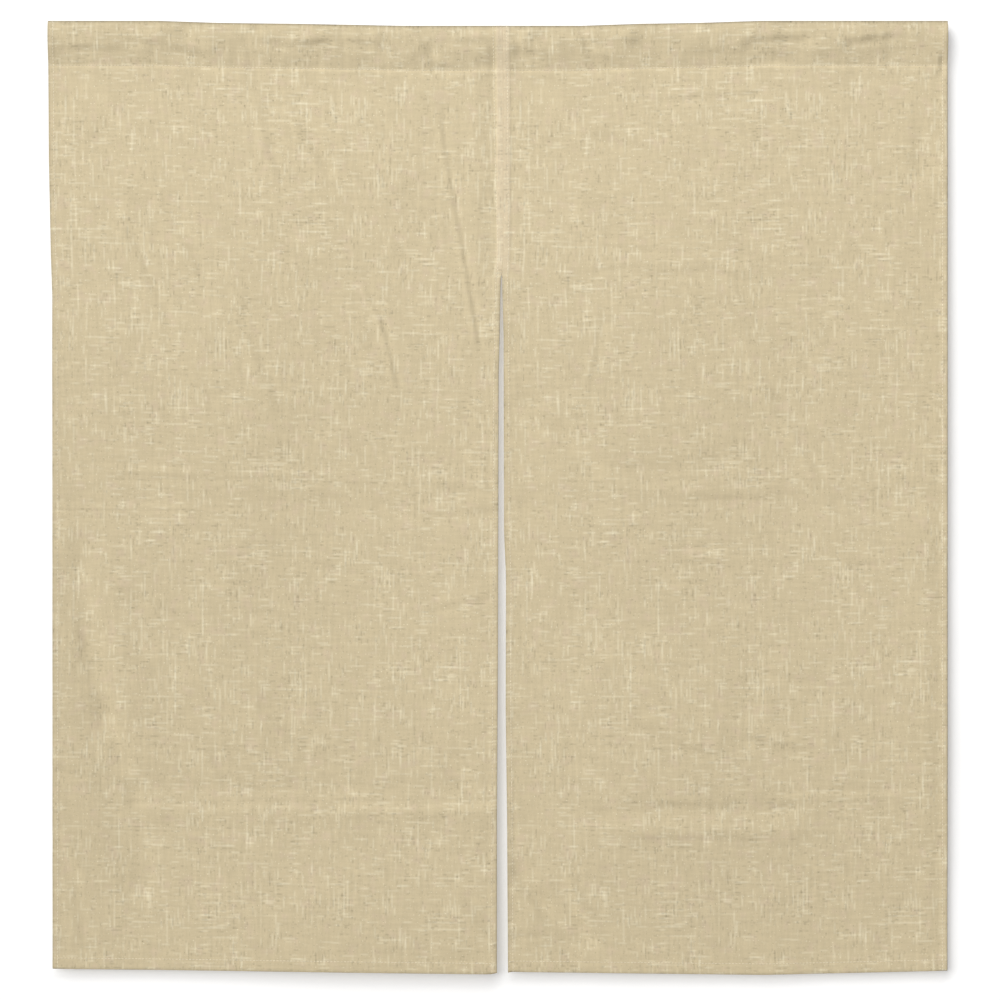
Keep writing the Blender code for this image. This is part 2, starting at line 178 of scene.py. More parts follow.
# Sharp creases, pressed in by folding and packing or pulled by the stitching: their ends and half width in
# millimetres, and how strongly each shows. On each the cloth comes forward on the side of the line that is
# nearer the upper left and goes back on the other side, and the other way round if the strength is negative.
Crease = namedtuple("Crease", "x1 z1 x2 z2 half_width strength")
CREASES = (
    Crease(-59, -87, -50, -146, 3.6, 9), Crease(-50, -146, -37, -217, 3.6, 9),
    Crease(-37, -217, -24, -296, 3.6, 12), Crease(-129, -250, -114, -283, 3.6, 11),
    Crease(-114, -283, -100, -340, 3.6, 10), Crease(-228, -75, -222, -118, 6.0, 5),
    Crease(-222, -118, -214, -141, 6.0, 6), Crease(-232, -155, -228, -193, 5.0, -4),
    Crease(-196, -87, -168, -138, 6.0, 7), Crease(-181, -99, -159, -132, 5.0, -8),
    Crease(-355, -195, -320, -277, 7.0, 6), Crease(-320, -170, -289, -231, 7.0, 10),
    Crease(-249, -283, -249, -319, 5.0, 5), Crease(-239, -300, -215, -355, 7.0, 5),
    Crease(-372, -418, -296, -421, 4.2, -6), Crease(-363, -426, -164, -429, 4.2, 6),
    Crease(-164, -433, -7, -436, 4.2, 4), Crease(-35, -402, -12, -427, 4.5, 8),
    Crease(-18, -428, -5, -452, 5.0, 11), Crease(-48, -447, -10, -447, 4.2, -8),
    Crease(-419, -460, -287, -461, 4.2, 28), Crease(-63, -462, -4, -459, 6.0, 10),
    Crease(-192, -501, -149, -516, 4.2, 6), Crease(-353, -535, -310, -558, 6.0, 5),
    Crease(-239, -554, -201, -554, 5.0, 4), Crease(-55, -549, -18, -541, 5.0, 11),
    Crease(-408, -492, -399, -582, 11.0, 6), Crease(-399, -582, -382, -658, 11.0, 6),
    Crease(-382, -658, -355, -734, 11.0, 6), Crease(-353, -734, -344, -802, 11.0, 5),
    Crease(-419, -703, -406, -707, 6.0, 8), Crease(-421, -772, -404, -800, 8.0, -5),
    Crease(-410, -802, -401, -857, 6.0, 8), Crease(-228, -647, -192, -688, 6.0, -5),
    Crease(-178, -701, -145, -731, 6.0, -13), Crease(-275, -694, -266, -720, 5.0, 5),
    Crease(-63, -696, -38, -724, 9.0, -5), Crease(-351, -734, -149, -734, 4.2, 8),
    Crease(-149, -733, -12, -731, 4.2, 4), Crease(-325, -743, -149, -744, 6.0, -2),
    Crease(-149, -741, -16, -741, 5.0, -9), Crease(-35, -833, -4, -871, 8.0, -4),
    Crease(149, -70, 178, -67, 4.2, 7), Crease(178, -67, 237, -63, 4.2, 8),
    Crease(92, -103, 113, -110, 8.0, 4), Crease(393, -82, 388, -135, 8.0, 2),
    Crease(83, -231, 111, -229, 5.0, 7), Crease(151, -233, 178, -232, 6.0, 9),
    Crease(199, -229, 225, -238, 6.0, 9), Crease(121, -220, 187, -219, 5.0, -5),
    Crease(208, -239, 222, -262, 5.0, -5), Crease(220, -271, 235, -300, 5.0, 0.6),
    Crease(240, -319, 259, -359, 6.0, 3), Crease(92, -281, 82, -343, 4.0, 8),
    Crease(17, -343, 51, -389, 8.0, 3), Crease(51, -389, 85, -421, 9.0, -9),
    Crease(98, -417, 178, -418, 9.0, 3), Crease(280, -392, 299, -426, 5.0, 5),
    Crease(130, -428, 187, -428, 4.2, 6), Crease(140, -438, 235, -437, 4.2, -5),
    Crease(178, -447, 249, -447, 4.2, 8), Crease(168, -499, 208, -499, 4.2, -9),
    Crease(182, -506, 216, -512, 6.0, 6), Crease(328, -510, 348, -509, 5.0, 9),
    Crease(252, -612, 296, -619, 6.0, 6), Crease(130, -606, 164, -606, 8.0, 5),
    Crease(15, -592, 55, -677, 12.0, 2), Crease(43, -653, 96, -724, 12.0, -2),
    Crease(140, -663, 178, -686, 7.0, 6), Crease(230, -672, 277, -684, 7.0, 7),
    Crease(102, -734, 211, -739, 4.2, 5), Crease(92, -741, 282, -738, 7.0, 5),
    Crease(69, -757, 282, -758, 5.0, -5), Crease(130, -768, 249, -770, 4.2, 8),
    Crease(273, -729, 382, -727, 4.2, -11), Crease(10, -802, 34, -836, 7.0, 7),
    Crease(34, -836, 78, -871, 10.0, -5), Crease(5, -859, 28, -861, 5.0, 16),
    Crease(40, -857, 62, -863, 6.0, 4), Crease(59, -814, 81, -857, 8.0, -5),
    Crease(-18, -44, -16, -229, 12.0, 4.5), Crease(-13, -44, -12, -80, 3.6, 5),
    Crease(7, -99, 7, -229, 3.6, 0.4), Crease(11, -4, 10, -30, 5.0, 1.5),
    Crease(-18, -449, -18, -881, 12.0, 1), Crease(409, -430, 409, -881, 10.0, 3),
    Crease(8, -734, 7, -881, 4.0, 4), Crease(-410, -20, -370, -21, 5.0, 10),
    Crease(-348, -14, -332, -16, 5.0, 9), Crease(-310, -21, -291, -25, 6.0, 10),
    Crease(-257, -11, -255, -27, 5.0, 8), Crease(-247, -15, -240, -32, 6.0, 9),
    Crease(-226, -14, -211, -16, 5.0, 9), Crease(-226, -27, -201, -34, 7.0, 2),
    Crease(-196, -17, -171, -15, 5.0, 16), Crease(-145, -14, -128, -16, 5.0, 15),
    Crease(-149, -30, -110, -36, 7.0, 2), Crease(-80, -11, -69, -27, 6.0, 9),
    Crease(-73, -38, -52, -39, 5.0, 8), Crease(-40, -13, -16, -14, 5.0, 10),
    Crease(-13, -19, -12, -40, 4.0, 6), Crease(11, -11, 13, -28, 5.0, 9),
    Crease(15, -23, 34, -27, 7.0, 8), Crease(40, -21, 42, -30, 5.0, 8),
    Crease(73, -9, 81, -27, 6.0, 26), Crease(91, -30, 106, -34, 6.0, 8),
    Crease(111, -13, 123, -15, 5.0, 9), Crease(187, -23, 218, -24, 6.0, 5),
    Crease(240, -14, 284, -11, 6.0, 19), Crease(250, -23, 265, -27, 6.0, 8),
    Crease(282, -23, 309, -28, 7.0, 5), Crease(332, -14, 345, -13, 5.0, 14),
    Crease(350, -11, 365, -10, 5.0, 16), Crease(369, -23, 390, -19, 7.0, 7),
    Crease(415, -28, 415, -40, 4.0, 30), Crease(248, -36, 259, -36, 5.0, -9),
    Crease(-23, -41, -10, -41, 5.0, -10),
)

# Slack dents in the pocket's front layer. Share is how much of the bulge is lost there.
Dent = namedtuple("Dent", "x half_width share")
DENTS = (
    Dent(-0.404, 0.014, 0.35), Dent(-0.301, 0.016, 0.40), Dent(-0.246, 0.018, 0.45),
    Dent(-0.126, 0.016, 0.35), Dent(-0.060, 0.018, 0.30), Dent(0.080, 0.018, 0.35),
    Dent(0.146, 0.016, 0.30), Dent(0.276, 0.022, 0.50), Dent(0.370, 0.016, 0.35),
)

# Crumples of that layer: bumps of this share of the bulge and this wide. They lean to the left by this many
# widths on their way down, there are this many of them down the pocket, and their noise starts at this row.
Crumple = namedtuple("Crumple", "share width lean down row seed")
CRUMPLES = (Crumple(0.22, 0.016, 2, 1.5, 4, 61), Crumple(0.154, 0.0075, 0, 2, 0, 62))

# Unevenness of the cloth: bumps this wide and tall, and how far they stand out
Uneven = namedtuple("Uneven", "width height depth seed")
UNEVENNESS = (
    Uneven(0.085, 0.110, 0.0007, 11),
    Uneven(0.038, 0.052, 0.00030, 12),
    Uneven(0.017, 0.021, 0.00012, 13),
)
UNEVEN_START = 0.004  # how far above the pocket's stitching they begin
UNEVEN_OVER = 0.020  # and over what height they reach their full depth

# Spacing of the sheet's columns, from this x on, and of its rows, from this z on
Spacing = namedtuple("Spacing", "start step")
LEFT_COLUMNS = (Spacing(-0.431, 0.0032), Spacing(-0.150, 0.0022), Spacing(-0.020, 0.0016))
RIGHT_COLUMNS = (Spacing(0.0, 0.0016), Spacing(0.020, 0.0024), Spacing(0.120, 0.0032))
BODY_ROWS = (
    Spacing(-0.050, 0.0024), Spacing(-0.130, 0.0032), Spacing(-0.420, 0.0024), Spacing(-0.465, 0.0034),
    Spacing(-0.720, 0.0024), Spacing(-0.780, 0.0034),
)

# Distances from a side edge, below the pocket's stitching and above the bottom edge where the sheet has extra
# columns and rows
NEAR_EDGE = (0.0012, 0.0020, 0.0028, 0.0036, 0.0043, 0.0050, 0.0058, 0.0066, 0.0075, 0.0087, 0.0103, 0.0122)
NEAR_STITCH = (0.0006, 0.0014, 0.0024, 0.0036, 0.0050, 0.0066)
NEAR_BOTTOM = (0.0195, 0.0170, 0.0148, 0.0130, 0.0118, 0.0108, 0.0098, 0.0086, 0.0070, 0.0052, 0.0035, 0.0020)
FINE_PLACES = 20001  # at which the spacing of columns and rows is added up
POCKET_ROWS = 25  # over each side of the pocket
TOP_CROWDING = 1.7  # power that sets those rows closer towards the top fold

# Patches of the cloth's pattern: how wide and tall they are in millimetres, and their noise's detail and seed
Patch = namedtuple("Patch", "width height detail seed")
DRIFT = Patch(90, 60, 0, 3.0)  # how the yarns wander
MORE_WARP, MORE_WEFT = Patch(45, 70, 0, 5.0), Patch(70, 45, 0, 7.0)  # where they are more uneven
WARP_YARNS, WEFT_YARNS = Patch(1.9, 12, 0, 11.0), Patch(12, 1.9, 0, 17.0)
BUSY, BIAS = Patch(20, 20, 0, 47.0), Patch(24, 28, 0, 49.0)  # more marks, and more warp than weft marks
NUBS, SPECKS = Patch(1.7, 1.8, 0, 31.0), Patch(1.6, 1.7, 0, 83.0)
BANDS = (Patch(3.8, 32, 0, 37.0), Patch(32, 3.8, 0, 39.0))
CLOUDS = Patch(38, 38, 1.0, 41.0)
PINKER = Patch(15, 15, 1.0, 43.0)

# How strongly each of them shows
DRIFTING = 0.8  # in millimetres
YARN_EVEN, YARN_MORE = 0.6, 0.5  # of the yarns' own tone, and what the more uneven places add
BUSIER, BIASED, BUSY_WHERE_UNEVEN = 0.26, 0.30, 0.12  # added to a slub's noise
YARN_TONE, THIN_TONE, BAND_TONE, CLOUD_TONE, SPECK_TONE, GAP_TONE = 0.05, 0.13, 0.04, 0.01, 0.22, 0.12
# Painted shade: how much darker the doubled pocket and the line along each turned edge are made
DOUBLED_SHADE_TONE, EDGE_SHADE_TONE = 0.035, 0.34
# The last of these is painted light: how far hems and the seam are made paler, as less shaded
SLUB_PALE, NUB_PALE, PRESSED_LIGHT = 0.39, 0.9, 0.6
SPOT_FROM, SPOT_FULL = 0.55, 0.85  # of the noise where a nub or speck begins and is full
PINK_FROM, PINK_FULL, PINK_SHARE = 0.15, 0.6, 0.45
TONE_HEIGHT, PALE_HEIGHT, CROWN_HEIGHT = 3, 0.35, 0.1  # of the relief
LINEN_ROUGHNESS, THREAD_ROUGHNESS, PAINT_ROUGHNESS = 0.92, 0.7, 0.9
LINEN_SHINE = 0.2

# Marks of the uneven yarns, in millimetres: one yarn in each pitch, marks this wide and about this long, how
# strong their noise has to be to show, how much the crowding of marks adds to it, and its seed
Slubs = namedtuple("Slubs", "pitch width length start crowding seed")
WARP_SLUBS = (Slubs(2.7, 1.8, 16, 0.24, 1, 53.0), Slubs(4.3, 1.7, 34, 0.34, 0.4, 59.0))
WEFT_SLUBS = (Slubs(2.7, 1.8, 14, 0.24, 1, 61.0), Slubs(4.1, 1.7, 30, 0.34, 0.4, 67.0))
THIN_WARP, THIN_WEFT = Slubs(2.7, 1.4, 6.0, 0.34, 1, 71.0), Slubs(2.7, 1.4, 6.0, 0.34, 1, 73.0)
SLUB_FULL, SLUB_GONE = 0.3, 0.75  # distances off the yarn's middle, in widths of the mark
SLUB_RISE = 0.45  # of the noise over which a mark comes up
YARN_STRAY = 0.5  # of a pitch that a yarn may lie off the middle, in all
NEXT_YARN = 7.31  # between the noises of neighbouring yarns
NEXT_SEED = 2.3  # how much further down than across a seed moves the noise

# The thread's twist, in radians to a millimetre, its uneven patches in millimetres, and how both show
THREAD_TWIST, THREAD_PATCH = 9, 4
TWIST_TONE, FADE_TONE = 0.06, 0.12

# Turned edges
LAYERS = 3
TUCK = 0.004  # how far the raw end is tucked in
TUCK_LEVEL = 0.34  # depth of the tucked layer's outer face, as a share of the stack
TUCK_POINTS, EDGE_POINTS = 5, 9  # of the section round the tucked turn and round the edge
HEM_POINTS = (0.25, 0.5, 0.75)  # places between the two, as shares of the hem
PRESSED = 0.3  # what is left of a side hem's depth where it is pressed inside another hem
HEM_LIFT = 0.00025  # how far a hem's layers push the front face forward
SEAM_LIFT = 0.0006  # the same over the seam, where two hems lie on each other
HEM_SOFT = 0.0024  # over which a hem's raw edge shows through
SEAM_END = 0.020  # over which the seam gives way to the slit
SLIT_HEM_LIGHT, OUTER_HEM_LIGHT = 0.12, 0.10  # painted light: how much paler the side hems are made, as less shaded, where the seam is 1
EDGE_SHADE_LINE = 0.0014  # half width of the line of painted shade along every turned edge
EDGE_SHADE_TOP, EDGE_SHADE_SIDE, EDGE_SHADE_BOTTOM = 1.0, 0.62, 0.35  # its strength
EDGE_SHADE_WIDE, EDGE_SHADE_WIDE_SHARE = 3, 0.3  # the painted shade on the top fold also spreads this many times as wide, by this share
POCKET_SHOWS = 0.003  # over which the doubled cloth of the pocket ends
HEM_RISE, HEM_FALL = 0.003, 0.002  # height over which the bottom hem's lift comes and goes
SMALL_PUCKER = 0.6  # of the smaller bumps beside a larger one
CORNER = 0.006  # width over which a side hem joins the layers of a turned corner
GROOVE, GROOVE_SIDE = 0.00016, 0.0009  # along the stitching
POCKET_GROOVE, POCKET_GROOVE_SIDE = 0.0005, 0.0016  # the same along the pocket's
Pucker = namedtuple("Pucker", "depth reach run spread seed")  # beside the stitching, which gathers the cloth
SIDE_PUCKER = Pucker(0.00013, 0.0060, 0.0085, 0.010, 20)
BOTTOM_PUCKER = Pucker(0.00013, 0.0065, 0.0090, 0.012, 41)
POCKET_PUCKER = Pucker(0.00035, 0.012, 0.011, 0.030, 51)
OUTER_STITCH = 0.0048  # of the side stitching from its edge
BOTTOM_STITCH = 0.95  # of the bottom stitching, as a share of the hem
DENT_SLANT = 0.008  # how far a dent moves to the right on its way down the pocket
SHORTEN_FROM = 0.02  # from an edge, where the sheet starts to give for the curtain's uneven outline

# Where the lamps stand, how many radians across the key looks, how wide the two others are, and how far the
# wall and the floor reach
KEY_PLACE, TOP_PLACE, BEHIND_PLACE = (-0.60, -0.74, -0.06), (-0.1, -1.6, 1.5), (-1.0, 2.6, 1.4)
KEY_SPREAD, LAMP_WIDTH = 1.05, 1.6
SENSOR_WIDTH = 36  # of the camera, in millimetres
WALL_SIDE, WALL_TOP, FLOOR_SIDE = 2, 1.2, 4

Panel = namedtuple("Panel", "name node side columns")
LEFT = Panel("left_cloth", "left_panel", -1, LEFT_COLUMNS)
RIGHT = Panel("right_cloth", "right_panel", 1, RIGHT_COLUMNS)


def table(rows):
    """A table's rows as two arrays, along and value, in rising order."""
    values = np.array(rows)
    return values[np.argsort(values[:, 0])].T


def edge_x(panel, z):
    """The panel's left and right edges at these heights."""
    if panel.side < 0:
        return LEFT_X + np.interp(z, *table(LEFT_OUTER_EDGE)), np.interp(z, *table(LEFT_INNER_EDGE))
    return np.interp(z, *table(RIGHT_INNER_EDGE)), RIGHT_X - np.interp(z, *table(RIGHT_OUTER_EDGE))


def top_z(x):
    """Height of the top fold at x."""
    return TOP_Z - np.interp(x, *table(TOP_EDGE))


def bottom_z(x):
    """Height of the bottom edge at x."""
    return BOTTOM_Z + np.interp(x, *table(BOTTOM_EDGE))


def bell(distance, half_width):
    """1 on the line and falling smoothly to almost nothing at twice the half width."""
    return np.exp(-((distance / half_width) ** 2))


def ease(share):
    """0 below 0, 1 above 1 and a smooth rise between them."""
    share = np.clip(share, 0, 1)
    return share * share * (3 - 2 * share)


def crease_slope(run_x, run_z, half_width, strength):
    """Greatest depth of a crease over its half width: its strength, divided by how well a crease in its
    direction catches the light, and raised where it's fine, up to a limit."""
    catching = abs(CREASE_LIGHT[0] * run_x + CREASE_LIGHT[1] * run_z) / np.hypot(run_x, run_z)
    shown = max(catching, CREASE_LEAST) / (1 + (CREASE_BLUR / half_width) ** 2)
    steepest = FINE_STEEPEST if half_width < FINE_CREASE else STEEPEST
    return np.clip(CREASE_SLOPE * strength / shown, -steepest, steepest)


def crease_depth(x, z, crease):
    """Depth that a crease adds: forward on its upper left side and back on its lower right side, as the
    distance across it times a bell of that distance, and gone a little way beyond its ends."""
    x1, z1, x2, z2, half_width = (value * MM for value in crease[:-1])
    run_x, run_z = x2 - x1, z2 - z1
    length = np.hypot(run_x, run_z)
    slope = crease_slope(run_x, run_z, half_width, crease.strength)
    turn = np.sign(run_x * AWAY[1] - run_z * AWAY[0]) / length
    along = ((x - x1) * run_x + (z - z1) * run_z) / length
    across = turn * ((z - z1) * run_x - (x - x1) * run_z) / half_width
    beyond = (along - np.clip(along, 0, length)) / (CREASE_FADE * half_width)
    return slope * half_width * CREASE_PEAK * across * np.exp(-(across**2) - beyond**2)


def soft_noise(u, v, seed):
    """Smooth bumps about one unit across, from -1 to 1: values drawn at whole numbers, eased between them."""
    drawn = np.random.default_rng(seed).uniform(-1, 1, (NOISE_SIDE, NOISE_SIDE))
    column, row = np.floor(u).astype(int), np.floor(v).astype(int)
    across, down = ease(u - column), ease(v - row)
    left, right = column % NOISE_SIDE, (column + 1) % NOISE_SIDE
    upper, lower = row % NOISE_SIDE, (row + 1) % NOISE_SIDE
    first = drawn[left, upper] * (1 - across) + drawn[right, upper] * across
    second = drawn[left, lower] * (1 - across) + drawn[right, lower] * across
    return first * (1 - down) + second * down


def distance_to_fold(x, z, fold):
    """Distance of each point from the fold's straight line, its two ends included."""
    run_x, run_z = fold.x2 - fold.x1, fold.z2 - fold.z1
    share = ((x - fold.x1) * run_x + (z - fold.z1) * run_z) / (run_x**2 + run_z**2)
    share = np.clip(share, 0, 1)
    return np.hypot(x - fold.x1 - share * run_x, z - fold.z1 - share * run_z)


def hang(x, z, side):
    """Depth that the hanging cloth's waves and folds add at (x, z): a sum of bells, eased in below the
    pocket. Below the slit's top the free edges part, by side times SLIT_PART."""
    pocket = bpy.context.scene.noren_cloth.pocket
    depth = np.zeros_like(x)
    for wave in WAVES:
        away = np.hypot((x - wave.x) / wave.half_width, (z - wave.z) / wave.half_height)
        depth += wave.depth * bell(away, 1)
    for fold in FOLDS:
        depth += fold.depth * bell(distance_to_fold(x, z, fold), fold.half_width)
    parted = ease((SLIT_TOP - z) / SLIT_PART_EASE) * bell(x, SLIT_PART_REACH)
    held_straight = ease((-z - pocket) / POCKET_EASE)
    return depth * held_straight + side * SLIT_PART * parted


def above_slit(z):
    """1 where the two panels are sewn together and 0 where the slit parts them."""
    return ease((z - SLIT_TOP) / SEAM_END + 0.5)


def within_hem(inward):
    """1 over a side hem and 0 inward of it, with a soft step at its raw edge."""
    return 1 - ease((inward - bpy.context.scene.noren_cloth.side_hem) / HEM_SOFT + 0.5)


def light_and_shade_marks(panel, points):
    """Painted light and shade at each point, as three shares: painted light where cloth is pressed flat over
    a hem or seam, painted shade where it is doubled over the rod pocket, and a line of painted shade along a
    turned edge."""
    cloth = bpy.context.scene.noren_cloth
    x, z = points[..., 0], points[..., 2]
    left, right = edge_x(panel, z)
    below_top = top_z(x) - z
    # Painted shade along the top fold and the bottom edge
    edge_shade = EDGE_SHADE_TOP * (bell(below_top, EDGE_SHADE_LINE) + EDGE_SHADE_WIDE_SHARE * bell(below_top, EDGE_SHADE_WIDE * EDGE_SHADE_LINE))
    edge_shade = np.maximum(edge_shade, EDGE_SHADE_BOTTOM * bell(z - bottom_z(x), EDGE_SHADE_LINE))
    # Painted light: hems and the seam are made paler, as less shaded
    pressed_light = np.zeros_like(x)
    for side, inward in ((-1, x - left), (1, right - x)):
        inner = side != panel.side
        sewn = above_slit(z) * inner
        pale = SLIT_HEM_LIGHT + (1 - SLIT_HEM_LIGHT) * sewn if inner else OUTER_HEM_LIGHT
        pressed_light += pale * within_hem(inward)
        # Painted shade along the free side edges
        edge_shade = np.maximum(edge_shade, EDGE_SHADE_SIDE * (1 - sewn) * bell(inward, EDGE_SHADE_LINE))
    # Painted shade over the pocket, where the cloth is doubled
    doubled_shade = 1 - ease((below_top - cloth.pocket + POCKET_LIP) / POCKET_SHOWS)
    return np.stack([pressed_light, doubled_shade, edge_shade], axis=-1)


def puckers(along, across, pucker):
    """Soft bumps of two sizes along a line of stitching, which die away across it."""
    bumps = soft_noise(along / pucker.run, across / pucker.spread + 3, pucker.seed)
    bumps = bumps + SMALL_PUCKER * soft_noise(2 * along / pucker.run, 0 * along, pucker.seed + 1)
    return pucker.depth * bumps * bell(across, pucker.reach)


def soft_relief(panel, x, z):
    """Depth of everything finer than the hanging folds: creases, the cloth's unevenness, the hems' extra
    layers, which push the front forward, the groove along each row of stitches and the puckers beside it."""
    cloth = bpy.context.scene.noren_cloth
    left, right = edge_x(panel, z)
    stitched = top_z(x) - cloth.pocket
    below, above_hem = stitched - z, z - bottom_z(x)
    depth = np.zeros_like(x)
    for uneven in UNEVENNESS:
        depth += uneven.depth * soft_noise(x / uneven.width + uneven.seed, z / uneven.height, uneven.seed)
    depth *= ease((below + UNEVEN_START) / UNEVEN_OVER)
    for crease in CREASES:
        depth += crease_depth(x, z, crease)

    sewn = above_slit(z)
    for side, inward in ((-1, x - left), (1, right - x)):
        lift = HEM_LIFT + (SEAM_LIFT - HEM_LIFT) * sewn * (side != panel.side)
        from_stitch = inward - stitch_inset(panel, z, side)
        depth -= lift * within_hem(inward)
        depth += GROOVE * bell(from_stitch, GROOVE_SIDE) + puckers(z, from_stitch, SIDE_PUCKER)
    over_hem = 1 - ease((above_hem - cloth.bottom_hem) / HEM_RISE + 1 / 3)
    depth -= HEM_LIFT * over_hem * ease(above_hem / HEM_FALL)
    from_stitch = above_hem - BOTTOM_STITCH * cloth.bottom_hem
    depth += GROOVE * bell(from_stitch, GROOVE_SIDE) + puckers(x, from_stitch, BOTTOM_PUCKER)
    return depth + POCKET_GROOVE * bell(below, POCKET_GROOVE_SIDE) + puckers(x, below, POCKET_PUCKER)


def stitch_inset(panel, z, side):
    """How far the side stitching stands in from the panel's left (-1) or right (+1) edge."""
    if side == panel.side:
        return np.full_like(z, OUTER_STITCH)
    return np.interp(z, *table(LEFT_SEAM_STITCH if panel.side < 0 else RIGHT_SEAM_STITCH))


def pocket_section(share):
    """How full the rod pocket is at this share of the way down from its top fold: 1 at its fullest."""
    fullest = BULGE_RISE / (BULGE_RISE + BULGE_FALL)
    share = np.clip(share, 0, 1)
    return (share / fullest) ** BULGE_RISE * ((1 - share) / (1 - fullest)) ** BULGE_FALL


def pocket_fullness(x, share):
    """What the dents and crumples leave of the pocket's forward bulge."""
    dents = sum(dent.share * bell(x - dent.x - DENT_SLANT * share, dent.half_width) for dent in DENTS)
    crumples = 0
    for crumple in CRUMPLES:
        across, down = x / crumple.width + crumple.lean * share, crumple.down * share + crumple.row
        crumples = crumples + crumple.share * soft_noise(across, down, crumple.seed)
    return 1 - dents + crumples


def layer_stack(panel, x, z):
    """Thickness of a turned edge's three layers at x, and of nine where the side hems are turned up in it."""
    cloth = bpy.context.scene.noren_cloth
    left, right = edge_x(panel, z)
    from_side = np.minimum(x - left, right - x)
    corner = 1 - ease((from_side - cloth.side_hem) / CORNER)
    return LAYERS * cloth.layer * (1 + (LAYERS - 1) * corner)


def turned_edge(hem):
    """Section of an edge turned twice, from the raw end inside it to the front. Three rows: its distance from
    the edge, what part of the stack's thickness is added to that, and its depth as a share of the stack."""
    turn = np.radians(np.linspace(-90, 90, TUCK_POINTS))
    radius = (1 - TUCK_LEVEL) / 2
    edge = np.radians(np.linspace(90, -90, EDGE_POINTS))
    along = np.array(HEM_POINTS)
    distance = [hem - TUCK, hem - TUCK / 2, *np.full(TUCK_POINTS, hem), *(hem * (1 - along))]
    distance = [*distance, *np.zeros(EDGE_POINTS)]
    added = [-radius, -radius, *(radius * (np.cos(turn) - 1)), *(along * (0.5 + radius) - radius)]
    added = [*added, *(0.5 - 0.5 * np.cos(edge))]
    level = [TUCK_LEVEL, TUCK_LEVEL, *((1 + TUCK_LEVEL) / 2 + radius * np.sin(turn)), *np.ones(len(along))]
    level = [*level, *(0.5 + 0.5 * np.sin(edge))]
    return np.array([distance, added, level])


def spaced(spacings, first, last):
    """Places from first to last with each stretch's own step."""
    starts = np.array([spacing.start for spacing in spacings])
    steps = np.array([spacing.step for spacing in spacings])
    fine = np.linspace(first, last, FINE_PLACES)
    order = np.argsort(starts)
    step = np.interp(fine, starts[order], steps[order])
    counted = np.concatenate([[0], np.cumsum(np.abs(np.diff(fine)) / step[1:])])
    count = int(counted[-1])
    return np.interp(np.arange(1, count) / count * counted[-1], counted, fine)


def columns_across(panel):
    """The sheet's columns: distance from the panel's left edge and depth behind its front, both in metres."""
    cloth = bpy.context.scene.noren_cloth
    left, right = edge_x(panel, -cloth.pocket)
    width = right - left
    distance, added, level = turned_edge(cloth.side_hem)
    stack = LAYERS * cloth.layer
    turned = distance + added * stack
    near = np.array(NEAR_EDGE)
    middle = spaced(panel.columns, left + near[-1], right - near[-1]) - left
    run = np.concatenate([turned, near, middle, width - near[::-1], width - turned[::-1]])
    flat_front = np.zeros(2 * len(near) + len(middle))
    depth = np.concatenate([level * stack, flat_front, level[::-1] * stack])
    if len(run) % 2 == 0:
        middle_gap = len(turned) + len(near)
        run = np.delete(run, middle_gap)
        depth = np.delete(depth, middle_gap)
    return run, depth, width


Rows = namedtuple("Rows", "drop added level front back press")


def rows_down():
    """The sheet's rows, from the raw end in the pocket's lip, up the pocket's back, over the top fold, down
    the front and round the bottom edge to the raw end in its hem. Each has its drop below the pocket's
    stitching, the part of the stack's thickness by which it is higher, its layer as a share of the stack, its
    shares of the pocket's front and back bulge, and how flat a side hem is pressed in it."""
    cloth = bpy.context.scene.noren_cloth
    height = -top_z(0) + cloth.pocket
    whole = -height - bottom_z(0)
    turn = np.radians(np.linspace(-90, 90, TUCK_POINTS))
    radius = (1 - TUCK_LEVEL) / 2
    shares = np.linspace(0, 1, POCKET_ROWS) ** TOP_CROWDING
    back_shares, front_shares = shares[::-1], shares[1:]
    shoulder = np.sqrt(1 - (1 - np.clip(back_shares / SHOULDER, 0, 1)) ** 2)
    near_stitch, near_hem = np.array(NEAR_STITCH), np.array(NEAR_BOTTOM)
    body = -height - spaced(BODY_ROWS, -height - near_stitch[-1], bottom_z(0) + near_hem[0])
    hem_distance, hem_added, hem_level = (part[::-1] for part in turned_edge(cloth.bottom_hem))
    outer = EDGE_POINTS + len(HEM_POINTS)

    blocks = (
        Rows([POCKET_LIP - TUCK, POCKET_LIP - TUCK / 2], radius, TUCK_LEVEL, 0, 0, PRESSED),
        Rows(np.full(TUCK_POINTS, POCKET_LIP), radius * (1 - np.cos(turn)),
             (1 + TUCK_LEVEL) / 2 + radius * np.sin(turn), 0, 0, PRESSED),
        Rows([POCKET_LIP / 2], 0, 1, 0, 0, 1),
        Rows(-cloth.pocket * (1 - back_shares), 0, shoulder, 0, pocket_section(back_shares), 1),
        Rows(-cloth.pocket * (1 - front_shares), 0, 0, pocket_section(front_shares), 0, 1),
        Rows(near_stitch, 0, 0, 0, 0, 1),
        Rows(body, 0, 0, 0, 0, 1),
        Rows(whole - near_hem, 0, 0, 0, 0, 1),
        Rows(whole - hem_distance[:outer], hem_added[:outer], hem_level[:outer], 0, 0, 1),
        Rows(whole - hem_distance[outer:], hem_added[outer:], hem_level[outer:], 0, 0, PRESSED),
    )
    full = [np.broadcast_arrays(*[np.asarray(part, float) for part in block]) for block in blocks]
    rows = Rows(*[np.concatenate(parts) for parts in zip(*full)])
    if len(rows.drop) % 2 == 0:
        spare = int(np.argmin(np.abs(rows.drop - whole / 2)))
        rows = Rows(*[np.delete(part, spare) for part in rows])
    return rows, whole


